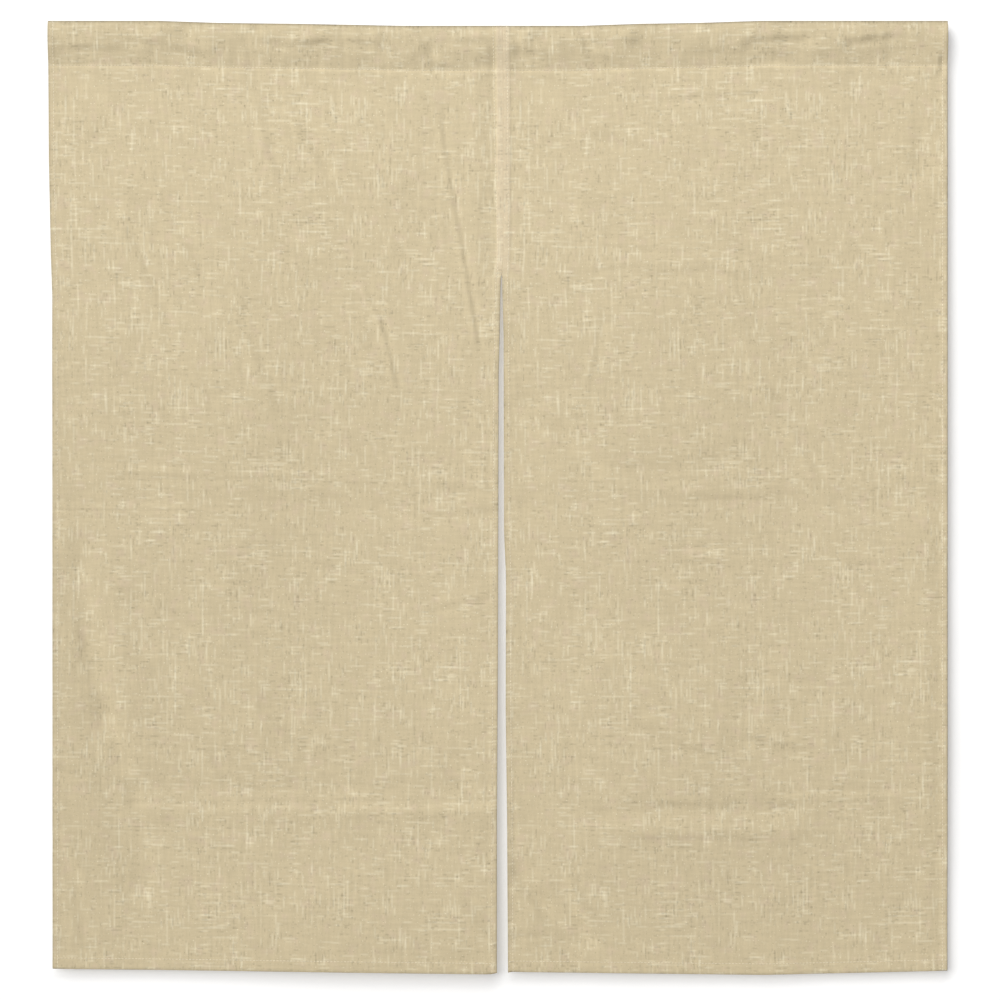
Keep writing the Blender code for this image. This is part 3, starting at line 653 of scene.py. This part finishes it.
def panel_surface(panel):
    """The sheet's outer face as a grid of points, columns by rows, and the flat coordinates of both.
    A point is its row's place on the panel's section at that x, moved along that section's normal by how far
    its column lies behind the front."""
    cloth = bpy.context.scene.noren_cloth
    run, depth, width = columns_across(panel)
    rows, whole = rows_down()
    run_share = np.clip((run - SHORTEN_FROM) / (width - 2 * SHORTEN_FROM), 0, 1)[:, None]
    drop_share = np.clip((rows.drop - SHORTEN_FROM) / (whole - 2 * SHORTEN_FROM), 0, 1)[None, :]
    left, right = edge_x(panel, -cloth.pocket)
    x = left + run[:, None] + np.zeros((1, len(rows.drop)))
    stack = layer_stack(panel, x, np.full_like(x, -cloth.pocket))
    stitched, bottom = top_z(x) - cloth.pocket, bottom_z(x)
    z = stitched - rows.drop + rows.added * stack - drop_share * (stitched - bottom - whole)
    left, right = edge_x(panel, z)
    x = left + run[:, None] + run_share * (right - left - width)
    slack = pocket_fullness(x, (top_z(x) - z) / cloth.pocket)
    y = FRONT_FACE + hang(x, z, panel.side) + soft_relief(panel, x, z) + rows.level * stack
    y = y - rows.front * cloth.front_bulge * slack
    y = y + rows.back * (cloth.back_bulge - stack + LAYERS * cloth.layer)

    step_y, step_z = np.gradient(y, axis=1), np.gradient(z, axis=1)
    length = np.hypot(step_y, step_z)
    behind = depth[:, None] * rows.press
    points = np.stack([x, y - behind * step_z / length, z + behind * step_y / length], axis=-1)

    section = np.hypot(np.diff(y, axis=1), np.diff(z, axis=1))[len(run) // 3 : -len(run) // 3].mean(axis=0)
    down = np.concatenate([[0], np.cumsum(section)])
    down -= down[int(np.argmax(z[len(run) // 2]))]
    across = np.concatenate([[0], np.cumsum(np.hypot(np.diff(run), np.diff(depth)))])
    return points, across, down


def normals_of(points):
    """Unit normals of a grid of points, from its steps across and down."""
    normal = np.cross(np.gradient(points, axis=1), np.gradient(points, axis=0))
    return normal / np.linalg.norm(normal, axis=-1, keepdims=True)


def grid_faces(index, turned=False):
    """Quads between a grid's neighbouring points, given their numbers."""
    corners = [index[:-1, :-1], index[:-1, 1:], index[1:, 1:], index[1:, :-1]]
    if turned:
        corners.reverse()
    return np.stack(corners, axis=-1).reshape(-1, 4)


def rim_faces(outer, inner, turned):
    """Faces that join an outer rim to an inner one with half as many points."""
    corners = [outer[:-2:2], outer[1:-1:2], outer[2::2], inner[1:], inner[:-1]]
    if turned:
        corners.reverse()
    return np.stack(corners, axis=-1)


def make_sheet(name, points, across, down, layer, marks):
    """A closed thin shell round a grid of points. The inner face lies one layer's thickness inside and has
    every second row and column. Both faces share their flat coordinates and their marks."""
    inner_points = (points - layer * normals_of(points))[::2, ::2]
    count = points.shape[0] * points.shape[1]
    outer = np.arange(count).reshape(points.shape[:2])
    inner = count + np.arange(inner_points.shape[0] * inner_points.shape[1]).reshape(inner_points.shape[:2])
    quads = np.concatenate([grid_faces(outer), grid_faces(inner, True)])
    rims = np.concatenate([
        rim_faces(outer[0], inner[0], True), rim_faces(outer[-1], inner[-1], False),
        rim_faces(outer[:, 0], inner[:, 0], False), rim_faces(outer[:, -1], inner[:, -1], True),
    ])
    corners = np.concatenate([quads.ravel(), rims.ravel()])
    sizes = np.concatenate([np.full(len(quads), 4), np.full(len(rims), 5)])

    mesh = bpy.data.meshes.new(name)
    places = np.concatenate([points.reshape(-1, 3), inner_points.reshape(-1, 3)])
    mesh.vertices.add(len(places))
    mesh.vertices.foreach_set("co", places.ravel())
    mesh.loops.add(len(corners))
    mesh.loops.foreach_set("vertex_index", corners)
    mesh.polygons.add(len(sizes))
    mesh.polygons.foreach_set("loop_start", np.cumsum(sizes) - sizes)
    mesh.update(calc_edges=True)

    flat = np.stack(np.meshgrid(across, down, indexing="ij"), axis=-1)
    flat = np.concatenate([flat.reshape(-1, 2), flat[::2, ::2].reshape(-1, 2)])
    lowest, highest = flat.min(axis=0), flat.max(axis=0)
    for map_name, place in ((BAKE_MAP, (flat - lowest) / (highest - lowest)), (FLAT_MAP, flat)):
        mesh.uv_layers.new(name=map_name).uv.foreach_set("vector", place[corners].ravel())
    shown = np.concatenate([marks.reshape(-1, 3), marks[::2, ::2].reshape(-1, 3)])
    mesh.attributes.new(LIGHT_AND_SHADE_MARKS, "FLOAT_VECTOR", "POINT").data.foreach_set("vector", shown.ravel())
    mesh.shade_smooth()
    mesh.validate()
    return mesh


def place_piece(mesh, material):
    """The mesh as a piece that rides on the curtain's one body."""
    mesh.materials.append(material)
    piece = bpy.data.objects.new(mesh.name, mesh)
    bpy.context.scene.collection.objects.link(piece)
    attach(piece, "root")
    return piece


def crossing(places, wanted, inside):
    """Where a run of places reaches the wanted one, as an index with a fraction, among those inside."""
    index = np.flatnonzero(inside)
    order = np.argsort(places[index])
    return np.interp(wanted, places[index][order], index[order].astype(float))


def line_across(grid, index):
    """The grid's values along a line that crosses its first axis at index, one for each of its second."""
    low = np.floor(index).astype(int)
    part = (index - low)[:, None]
    other = np.arange(grid.shape[1])
    return grid[low, other] * (1 - part) + grid[np.minimum(low + 1, len(grid) - 1), other] * part


def stitch_line(points, normals, index):
    """A line of places on the cloth and the directions out of it there."""
    return line_across(points, index), line_across(normals, index)


def side_lines(panel):
    """The two side hems' stitching, on the cloth's front and on the hems' turned layer."""
    points = panel_surface(panel)[0]
    normals = normals_of(points)
    run, depth, width = columns_across(panel)
    z = points[len(run) // 2, :, 2]
    half = np.arange(len(run)) < len(run) / 2
    lines = []
    for side, near, distance in ((-1, half, run), (1, ~half, width - run)):
        inset = stitch_inset(panel, z, side)
        for layer in (depth == 0, depth >= depth.max() - ROUNDING):
            lines.append(stitch_line(points, normals, crossing(distance, inset, near & layer)))
    return lines


def row_lines(panel, drop):
    """Stitching across the panel at this drop below the pocket's stitching, on the front and on the back."""
    points = panel_surface(panel)[0]
    normals = normals_of(points)
    rows, whole = rows_down()
    run, depth = columns_across(panel)[:2]
    front_columns = np.flatnonzero(depth == 0)
    top = int(np.argmax(points[len(run) // 2, :, 2]))
    bottom = int(np.argmin(points[len(run) // 2, :, 2]))
    number = np.arange(len(rows.drop))
    front = (number > top) & (number < bottom)
    back = (rows.level == 1) & ((number < top) if drop < whole / 2 else (number > bottom))
    lines = []
    for inside in (front, back):
        index = np.full(len(front_columns), crossing(rows.drop, drop, inside))
        across = [grid[front_columns].swapaxes(0, 1) for grid in (points, normals)]
        lines.append(stitch_line(*across, index))
    return lines


def stitches_along(line, normal):
    """A row of stitches on a line of places. Each is a short tube through four rings: its ends dip into the
    cloth and its middle lies on it. Returns points (stitch, ring, corner) by three."""
    thread = bpy.context.scene.noren_stitches
    measured = np.concatenate([[0], np.cumsum(np.linalg.norm(np.diff(line, axis=0), axis=1))])
    starts = np.arange(thread.gap, measured[-1] - thread.length, thread.length + thread.gap)
    along = starts[:, None] + STITCH_RINGS * thread.length

    def at(values, place):
        return np.stack([np.interp(place, measured, values[:, axis]) for axis in range(3)], axis=-1)

    out = at(normal, along)
    near = STITCH_AIM * thread.length
    ahead = at(line, along + near) - at(line, along - near)
    ahead /= np.linalg.norm(ahead, axis=-1, keepdims=True)
    aside = np.cross(ahead, out)
    radius = thread.thickness / 2
    lift = STITCH_LIFTS[:, None] * radius
    turn = np.radians(np.arange(STITCH_SIDES) * 360 / STITCH_SIDES)[:, None]
    middle = at(line, along) + lift * out
    ring = np.cos(turn) * out[:, :, None] + np.sin(turn) * aside[:, :, None]
    return middle[:, :, None] + radius * ring


def make_stitches(name, lines):
    """Rows of stitches as one mesh, with their tubes closed at both ends."""
    points = np.concatenate([stitches_along(*line) for line in lines])
    index = np.arange(points.size // 3).reshape(points.shape[:3])
    following = np.roll(index, -1, axis=2)
    walls = np.stack([index[:, :-1], following[:, :-1], following[:, 1:], index[:, 1:]], axis=-1)
    ends = np.concatenate([index[:, 0, ::-1], index[:, -1]])
    mesh = bpy.data.meshes.new(name)
    mesh.from_pydata(points.reshape(-1, 3), [], walls.reshape(-1, 4).tolist() + ends.tolist())
    mesh.shade_smooth()
    return mesh


class Value:
    """A number that varies over a surface. It wraps an output socket; arithmetic on it adds Math nodes."""

    def __init__(self, finish, socket):
        self.finish = finish
        self.socket = socket

    def math(self, operation, *others):
        """The result of a Math node on this number and the others."""
        sockets = dict(enumerate((self, *others)))
        node = self.finish.node("ShaderNodeMath", {"operation": operation}, sockets)
        return Value(self.finish, node.outputs[0])

    def __add__(self, other):
        return self.math("ADD", other)

    def __radd__(self, other):
        return self.math("ADD", other)

    def __mul__(self, other):
        return self.math("MULTIPLY", other)

    def __rmul__(self, other):
        return self.math("MULTIPLY", other)

    def __sub__(self, other):
        return self.math("SUBTRACT", other)

    def __rsub__(self, other):
        return (self * -1).math("ADD", other)

    def __truediv__(self, other):
        return self.math("DIVIDE", other)

    def between(self, low, high):
        """0 below low, 1 above high, and a smooth rise between them."""
        return self.finish.output(
            "ShaderNodeMapRange", "Result", {"interpolation_type": "SMOOTHSTEP"},
            {"Value": self, "From Min": low, "From Max": high},
        )


class Finish:
    """One material and the nodes that make it."""

    def __init__(self, name, roughness):
        self.material = bpy.data.materials.new(name)
        self.material.use_nodes = True
        self.tree = self.material.node_tree
        self.shader = self.tree.nodes["Principled BSDF"]
        self.shader.inputs["Roughness"].default_value = roughness

    def node(self, kind, settings=None, inputs=None):
        """A node of this kind, with its settings made first and then its sockets given values or links."""
        node = self.tree.nodes.new(kind)
        for name, value in (settings or {}).items():
            setattr(node, name, value)
        for name, value in (inputs or {}).items():
            self.feed(node.inputs[name], value)
        return node

    def output(self, kind, name, settings=None, inputs=None):
        """What comes out of a new node's socket of this name."""
        return Value(self, self.node(kind, settings, inputs).outputs[name])

    def parts(self, kind, settings, name):
        """The three numbers of a node's vector."""
        split = self.node("ShaderNodeSeparateXYZ", None, {"Vector": self.output(kind, name, settings)})
        return [Value(self, split.outputs[axis]) for axis in "XYZ"]

    def feed(self, socket, value):
        """Links a socket to a value that varies, or sets it to one that doesn't."""
        if isinstance(value, Value):
            self.tree.links.new(value.socket, socket)
        else:
            socket.default_value = value

    def place(self, across, down, seed=0.0):
        """A place on a plane, from two numbers."""
        return self.output("ShaderNodeCombineXYZ", "Vector", None, {"X": across, "Y": down, "Z": seed})

    def noise(self, across, down, detail=0.0, seed=0.0):
        """Smooth noise about 0, from -1 to 1, with bumps one unit across."""
        place = self.place(across + seed, down + NEXT_SEED * seed)
        noise = self.output("ShaderNodeTexNoise", "Fac", {"noise_dimensions": "2D"},
                            {"Vector": place, "Scale": 1.0, "Detail": detail, "Roughness": 0.5})
        return noise * 2 - 1

    def patch(self, across, down, kind):
        """The noise of one kind of Patch."""
        return self.noise(across / kind.width, down / kind.height, kind.detail, kind.seed)

    def blend(self, share, first, second):
        """A colour between two."""
        node = self.node("ShaderNodeMix", {"data_type": "RGBA"})
        by_kind = [socket for socket in node.inputs if socket.enabled]
        for socket, value in zip(by_kind, (share, first, second)):
            self.feed(socket, value)
        return Value(self, next(socket for socket in node.outputs if socket.enabled))

    def scaled(self, colour, tone):
        """A colour made lighter or darker."""
        return self.output("ShaderNodeVectorMath", "Vector", {"operation": "SCALE"},
                           {"Vector": colour, "Scale": tone})

    def slubs(self, aside, along, kind, crowd):
        """Short marks, as one kind in Slubs says. Each yarn lies a little off the middle of its pitch, and
        its marks show where its noise along it, plus crowd, passes their start."""
        place = aside / kind.pitch + kind.seed
        yarn = place.math("FLOOR")
        off = self.output("ShaderNodeTexWhiteNoise", "Value", {"noise_dimensions": "1D"}, {"W": yarn}) - 0.5
        distance = (place - yarn - 0.5 - off * YARN_STRAY).math("ABSOLUTE")
        width = kind.width / kind.pitch
        mark = 1 - distance.between(SLUB_FULL * width, SLUB_GONE * width)
        strength = self.noise(along / kind.length, yarn * NEXT_YARN) + crowd * kind.crowding
        return mark * strength.between(kind.start, kind.start + SLUB_RISE)


def linen():
    """Undyed slub cloth in plain weave. Its yarns are uneven, so that short pale streaks, which are thick
    places, and darker ones, which are thin places and gaps, lie along both the warp and the weft, over a
    softly mottled ground with a few pale nubs and faintly pinker patches. The sheet's marks make it paler
    where it is pressed over a seam, as painted light, and darker where it is doubled over the pocket and
    along turned edges, as painted shade."""
    cloth = bpy.context.scene.noren_cloth
    finish = Finish("slub_linen", LINEN_ROUGHNESS)
    flat = finish.parts("ShaderNodeUVMap", {"uv_map": FLAT_MAP}, "UV")
    across, down = flat[0] / MM, flat[1] / MM
    drift = finish.patch(across, down, DRIFT) * DRIFTING
    warp_side, weft_side = across + drift, down - drift

    more_warp = finish.patch(across, down, MORE_WARP)
    more_weft = finish.patch(across, down, MORE_WEFT)
    warp_fine = finish.patch(warp_side, down, WARP_YARNS)
    weft_fine = finish.patch(across, weft_side, WEFT_YARNS)
    warp = warp_fine * (YARN_EVEN + YARN_MORE * more_warp)
    weft = weft_fine * (YARN_EVEN + YARN_MORE * more_weft)

    busy = finish.patch(across, down, BUSY) * BUSIER
    bias = finish.patch(across, down, BIAS) * BIASED
    warp_busy = busy + bias + BUSY_WHERE_UNEVEN * more_warp
    weft_busy = busy - bias + BUSY_WHERE_UNEVEN * more_weft
    warp_slub = finish.slubs(warp_side, down, WARP_SLUBS[0], warp_busy)
    warp_slub = warp_slub + finish.slubs(warp_side, down, WARP_SLUBS[1], warp_busy)
    weft_slub = finish.slubs(weft_side, across, WEFT_SLUBS[0], weft_busy)
    weft_slub = weft_slub + finish.slubs(weft_side, across, WEFT_SLUBS[1], weft_busy)
    warp_thin = finish.slubs(warp_side, down, THIN_WARP, warp_busy)
    weft_thin = finish.slubs(weft_side, across, THIN_WEFT, weft_busy)
    nub = finish.patch(warp_side, down, NUBS).between(SPOT_FROM, SPOT_FULL)
    speck = finish.patch(warp_side, down, SPECKS).between(SPOT_FROM, SPOT_FULL)
    bands = finish.patch(across, down, BANDS[0]) + finish.patch(across, down, BANDS[1])
    cloud = finish.patch(across, down, CLOUDS)

    warp_tone = warp * YARN_TONE - warp_thin * THIN_TONE
    weft_tone = weft * YARN_TONE - weft_thin * THIN_TONE
    mottle = bands * BAND_TONE + cloud * CLOUD_TONE - speck * SPECK_TONE
    tone = 1 + cloth.unevenness * (warp_tone + weft_tone + mottle)
    pale = cloth.unevenness * ((warp_slub + weft_slub) * SLUB_PALE + nub * NUB_PALE)

    yarn = np.pi * MM / cloth.yarn_pitch
    warp_crown = (warp_side * yarn).math("SINE").math("ABSOLUTE")
    weft_crown = (weft_side * yarn).math("SINE").math("ABSOLUTE")
    gap = 1 - warp_crown.math("MAXIMUM", weft_crown)
    tone = tone - GAP_TONE * gap

    # Painted light and painted shade, read from the sheet's attribute
    pressed_light, doubled_shade, edge_shade = finish.parts("ShaderNodeAttribute", {"attribute_name": LIGHT_AND_SHADE_MARKS}, "Vector")
    # Painted shade: darker over the doubled pocket and along every turned edge
    tone = tone - DOUBLED_SHADE_TONE * doubled_shade - EDGE_SHADE_TONE * edge_shade

    pink = finish.patch(across, down, PINKER).between(PINK_FROM, PINK_FULL) * PINK_SHARE
    ground = finish.blend(pink, (*cloth.linen, 1), (*cloth.pink_linen, 1))
    # Painted light: paler over hems and the seam, as less shaded
    ground = finish.blend(pressed_light * PRESSED_LIGHT, ground, (*cloth.pressed_light_linen, 1))
    colour = finish.blend(pale, ground, (*cloth.slub_linen, 1))
    finish.feed(finish.shader.inputs["Base Color"], finish.scaled(colour, tone))

    height = (warp_tone + weft_tone) * TONE_HEIGHT + pale * PALE_HEIGHT
    height = height + (warp_crown + weft_crown) * CROWN_HEIGHT
    bump = finish.node("ShaderNodeBump", None, {"Strength": 1.0, "Distance": cloth.relief})
    finish.feed(bump.inputs["Height"], height)
    finish.tree.links.new(bump.outputs["Normal"], finish.shader.inputs["Normal"])
    finish.shader.inputs["Specular IOR Level"].default_value = LINEN_SHINE
    return finish.material


def cotton_thread():
    """Sewing thread a little paler than the cloth, with the faint ribs of its twist."""
    thread = bpy.context.scene.noren_stitches
    finish = Finish("cotton_thread", THREAD_ROUGHNESS)
    place = finish.parts("ShaderNodeTexCoord", None, "Object")
    side, height = place[0] / MM, place[2] / MM
    twist = ((side + height) * THREAD_TWIST).math("SINE")
    fade = finish.noise(side / THREAD_PATCH, height / THREAD_PATCH)
    tone = 1 + TWIST_TONE * twist + FADE_TONE * fade
    finish.feed(finish.shader.inputs["Base Color"], finish.scaled(tuple(thread.colour), tone))
    return finish.material


def plain(name, colour, glow=0.0, one_sided=False):
    """A matt paint, which may glow a little. One-sided paint is not seen from behind."""
    finish = Finish(name, PAINT_ROUGHNESS)
    finish.shader.inputs["Base Color"].default_value = (*colour, 1)
    finish.shader.inputs["Specular IOR Level"].default_value = 0.0
    finish.shader.inputs["Emission Color"].default_value = (1, 1, 1, 1)
    finish.shader.inputs["Emission Strength"].default_value = glow
    if one_sided:
        behind = finish.node("ShaderNodeNewGeometry")
        clear = finish.node("ShaderNodeBsdfTransparent")
        mixed = finish.node("ShaderNodeMixShader")
        finish.tree.links.new(behind.outputs["Backfacing"], mixed.inputs[0])
        finish.tree.links.new(finish.shader.outputs[0], mixed.inputs[1])
        finish.tree.links.new(clear.outputs[0], mixed.inputs[2])
        finish.tree.links.new(mixed.outputs[0], finish.tree.nodes["Material Output"].inputs["Surface"])
    return finish.material


def flat_sheet(name, corners, material):
    """A rectangle of the stage from its four corners."""
    mesh = bpy.data.meshes.new(name)
    mesh.from_pydata(corners, [], [(0, 1, 2, 3)])
    mesh.materials.append(material)
    sheet = bpy.data.objects.new(name, mesh)
    bpy.context.scene.collection.objects.link(sheet)
    return sheet


def add_lamp(name, kind, place, aim, size, power):
    """A soft lamp that faces its aim: a square one this wide, or a far one this many radians across."""
    lamp = bpy.data.lights.new(name, kind)
    lamp.energy = power
    setattr(lamp, "size" if kind == "AREA" else "angle", size)
    holder = bpy.data.objects.new(name, lamp)
    holder.location = place
    holder.rotation_euler = (Vector(aim) - Vector(place)).to_track_quat("-Z", "Y").to_euler()
    holder.visible_camera = False
    bpy.context.scene.collection.objects.link(holder)


class NorenCloth(bpy.types.PropertyGroup):
    """The cloth of both panels."""

    pocket: FloatProperty(name="Pocket", description="From the top fold down to the rod pocket's stitching",
                          default=0.042, unit="LENGTH")
    front_bulge: FloatProperty(name="Front bulge", description="Of the pocket's front layer, forward",
                               default=0.0035, unit="LENGTH")
    back_bulge: FloatProperty(name="Back bulge", description="Of the pocket's back layer, backward",
                              default=0.0062, unit="LENGTH")
    side_hem: FloatProperty(name="Side hem", description="Width of the double-turned side hems",
                            default=0.0065, unit="LENGTH")
    bottom_hem: FloatProperty(name="Bottom hem", description="Height of the double-turned bottom hem",
                              default=0.011, unit="LENGTH")
    layer: FloatProperty(name="Layer", description="Thickness of one layer of cloth", default=0.00032,
                         unit="LENGTH", precision=5)
    yarn_pitch: FloatProperty(name="Yarn pitch", description="Spacing of the yarns both ways",
                              default=0.00072, unit="LENGTH", precision=5)
    relief: FloatProperty(name="Relief", description="Height of the yarns' relief", default=0.00025,
                          unit="LENGTH", precision=5)
    unevenness: FloatProperty(name="Unevenness", description="How strongly thick and thin yarns show",
                              default=1.0)
    linen: FloatVectorProperty(name="Linen", description="Colour of the undyed cloth", subtype="COLOR",
                               default=(0.617, 0.520, 0.337))
    # Painted light: the paler colour that hems and the seam are blended towards, as less shaded
    pressed_light_linen: FloatVectorProperty(name="Pressed linen", description="Colour of the cloth over a seam",
                                       subtype="COLOR", default=(0.700, 0.585, 0.415))
    slub_linen: FloatVectorProperty(name="Slub linen", description="Colour of its pale thick places",
                                    subtype="COLOR", default=(0.80, 0.72, 0.52))
    pink_linen: FloatVectorProperty(name="Pinker linen", description="Colour of its faintly pinker patches",
                                    subtype="COLOR", default=(0.640, 0.518, 0.368))


class NorenStitches(bpy.types.PropertyGroup):
    """The sewing thread and its stitches."""

    length: FloatProperty(name="Length", description="What shows of one stitch", default=0.0023,
                          unit="LENGTH", precision=5)
    gap: FloatProperty(name="Gap", description="Between one stitch and the next", default=0.0009,
                       unit="LENGTH", precision=5)
    thickness: FloatProperty(name="Thickness", description="Of the thread", default=0.00046, unit="LENGTH",
                             precision=5)
    colour: FloatVectorProperty(name="Colour", description="Of the thread", subtype="COLOR",
                                default=(0.84, 0.77, 0.60))


class NorenStage(bpy.types.PropertyGroup):
    """Wall, floor, lights and camera."""

    wall_gap: FloatProperty(name="Wall gap", description="From the curtain's middle plane back to the wall",
                            default=0.0108, unit="LENGTH")
    wall_colour: FloatVectorProperty(name="Wall", description="Colour of the wall", subtype="COLOR",
                                     default=(0.80, 0.80, 0.80))
    wall_glow: FloatProperty(name="Wall glow", description="Light that the wall gives off", default=0.30)
    floor_drop: FloatProperty(name="Floor drop", description="From the curtain's bottom down to the floor",
                              default=1.0, unit="LENGTH")
    floor_colour: FloatVectorProperty(name="Floor", description="Colour of the floor", subtype="COLOR",
                                      default=(0.72, 0.70, 0.67))
    key_power: FloatProperty(name="Key light", description="From the upper left, on each square metre",
                             default=2.66)
    top_power: FloatProperty(name="Top light", description="From above, in front", default=31.0, unit="POWER")
    back_power: FloatProperty(name="Back light", description="From behind", default=45.0, unit="POWER")
    sky: FloatProperty(name="Sky", description="Even light from all round", default=0.05)
    distance: FloatProperty(name="Distance", description="From the camera to the curtain", default=3.2,
                            unit="LENGTH")
    view_width: FloatProperty(name="View width", description="Width of the view at the curtain",
                              default=0.948, unit="LENGTH")
    aim_right: FloatProperty(name="Aim right", description="From the curtain's centre to the view's",
                             default=0.0021, unit="LENGTH")
    aim_down: FloatProperty(name="Aim down", description="From the curtain's centre down to the view's",
                            default=0.0019, unit="LENGTH")


class NOREN_OT_cloth(bpy.types.Operator):
    """Make both panels as one hemmed sheet each."""

    bl_idname = "noren.cloth"
    bl_label = "Cloth panels"

    def execute(self, context):
        material = linen()
        for panel in (LEFT, RIGHT):
            points, across, down = panel_surface(panel)
            marks = light_and_shade_marks(panel, points)
            mesh = make_sheet(panel.name, points, across, down, context.scene.noren_cloth.layer, marks)
            piece = place_piece(mesh, material)
            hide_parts(panel.node)
        return {"FINISHED"}


class NOREN_OT_stitches(bpy.types.Operator):
    """Sew the side hems, the bottom hems and the rod pocket."""

    bl_idname = "noren.stitches"
    bl_label = "Stitching"

    def execute(self, context):
        material = cotton_thread()
        cloth = context.scene.noren_cloth
        whole = rows_down()[1]
        for panel in (LEFT, RIGHT):
            sewn = {
                "side": side_lines(panel),
                "bottom": row_lines(panel, whole - BOTTOM_STITCH * cloth.bottom_hem),
                "pocket": row_lines(panel, 0),
            }
            for place, lines in sewn.items():
                mesh = make_stitches(panel.node + "_" + place + "_stitches", lines)
                place_piece(mesh, material)
        return {"FINISHED"}


class NOREN_OT_stage(bpy.types.Operator):
    """Set up the wall, the floor, the lights and the camera."""

    bl_idname = "noren.stage"
    bl_label = "Stage"

    def execute(self, context):
        stage = context.scene.noren_stage
        centre = (cad_low + cad_high) / 2
        back, floor = stage.wall_gap, cad_low.z - stage.floor_drop
        corners = [(-WALL_SIDE, floor), (WALL_SIDE, floor), (WALL_SIDE, WALL_TOP), (-WALL_SIDE, WALL_TOP)]
        wall = flat_sheet("wall", [(x, back, z) for x, z in corners],
                          plain("wall_paint", stage.wall_colour, stage.wall_glow, one_sided=True))
        wall.visible_diffuse = wall.visible_glossy = wall.visible_shadow = False
        corners = [(-1, -1), (1, -1), (1, 1), (-1, 1)]
        flat_sheet("floor", [(x * FLOOR_SIDE, y * FLOOR_SIDE, floor) for x, y in corners],
                   plain("floor_paint", stage.floor_colour))
        add_lamp("key", "SUN", KEY_PLACE, centre, KEY_SPREAD, stage.key_power)
        add_lamp("top", "AREA", TOP_PLACE, centre, LAMP_WIDTH, stage.top_power)
        add_lamp("behind", "AREA", BEHIND_PLACE, centre, LAMP_WIDTH, stage.back_power)

        world = bpy.data.worlds.new("studio")
        world.use_nodes = True
        world.node_tree.nodes["Background"].inputs["Color"].default_value = (1, 1, 1, 1)
        world.node_tree.nodes["Background"].inputs["Strength"].default_value = stage.sky
        context.scene.world = world
        context.scene.view_settings.view_transform = "Standard"

        lens = bpy.data.cameras.new("camera")
        lens.sensor_width = SENSOR_WIDTH
        lens.lens = lens.sensor_width * stage.distance / stage.view_width
        camera = bpy.data.objects.new("camera", lens)
        camera.location = (centre.x + stage.aim_right, -stage.distance, centre.z - stage.aim_down)
        camera.rotation_euler = (np.pi / 2, 0, 0)
        context.scene.collection.objects.link(camera)
        context.scene.camera = camera
        return {"FINISHED"}


class NOREN_PT_sidebar(bpy.types.Panel):
    """Lists the curtain's sizes and its steps."""

    bl_label = "Noren curtain"
    bl_idname = "NOREN_PT_sidebar"
    bl_space_type = "VIEW_3D"
    bl_region_type = "UI"
    bl_category = "Noren"

    def draw(self, context):
        for group, operators in (
            (context.scene.noren_cloth, ("noren.cloth",)),
            (context.scene.noren_stitches, ("noren.stitches",)),
            (context.scene.noren_stage, ("noren.stage",)),
        ):
            box = self.layout.box()
            for name in group.bl_rna.properties.keys():
                if name not in ("rna_type", "name"):
                    box.prop(group, name)
            for operator in operators:
                box.operator(operator)


CLASSES = (NorenCloth, NorenStitches, NorenStage, NOREN_OT_cloth, NOREN_OT_stitches, NOREN_OT_stage,
           NOREN_PT_sidebar)


def register():
    for entry in CLASSES:
        bpy.utils.register_class(entry)
    bpy.types.Scene.noren_cloth = PointerProperty(type=NorenCloth)
    bpy.types.Scene.noren_stitches = PointerProperty(type=NorenStitches)
    bpy.types.Scene.noren_stage = PointerProperty(type=NorenStage)


def unregister():
    for name in ("noren_cloth", "noren_stitches", "noren_stage"):
        delattr(bpy.types.Scene, name)
    for entry in reversed(CLASSES):
        bpy.utils.unregister_class(entry)


def declare_sheets():
    """Works out each panel's sheet and the names of its stitching, and does nothing more with them."""
    for panel in (LEFT, RIGHT):
        _, across, down = panel_surface(panel)
        stitching = [panel.node + "_" + place + "_stitches" for place in ("side", "bottom", "pocket")]


def main():
    """Makes the curtain and its stage."""
    register()
    bpy.ops.noren.cloth()
    bpy.ops.noren.stitches()
    bpy.ops.noren.stage()
    declare_sheets()


if __name__ == "__main__":
    main()
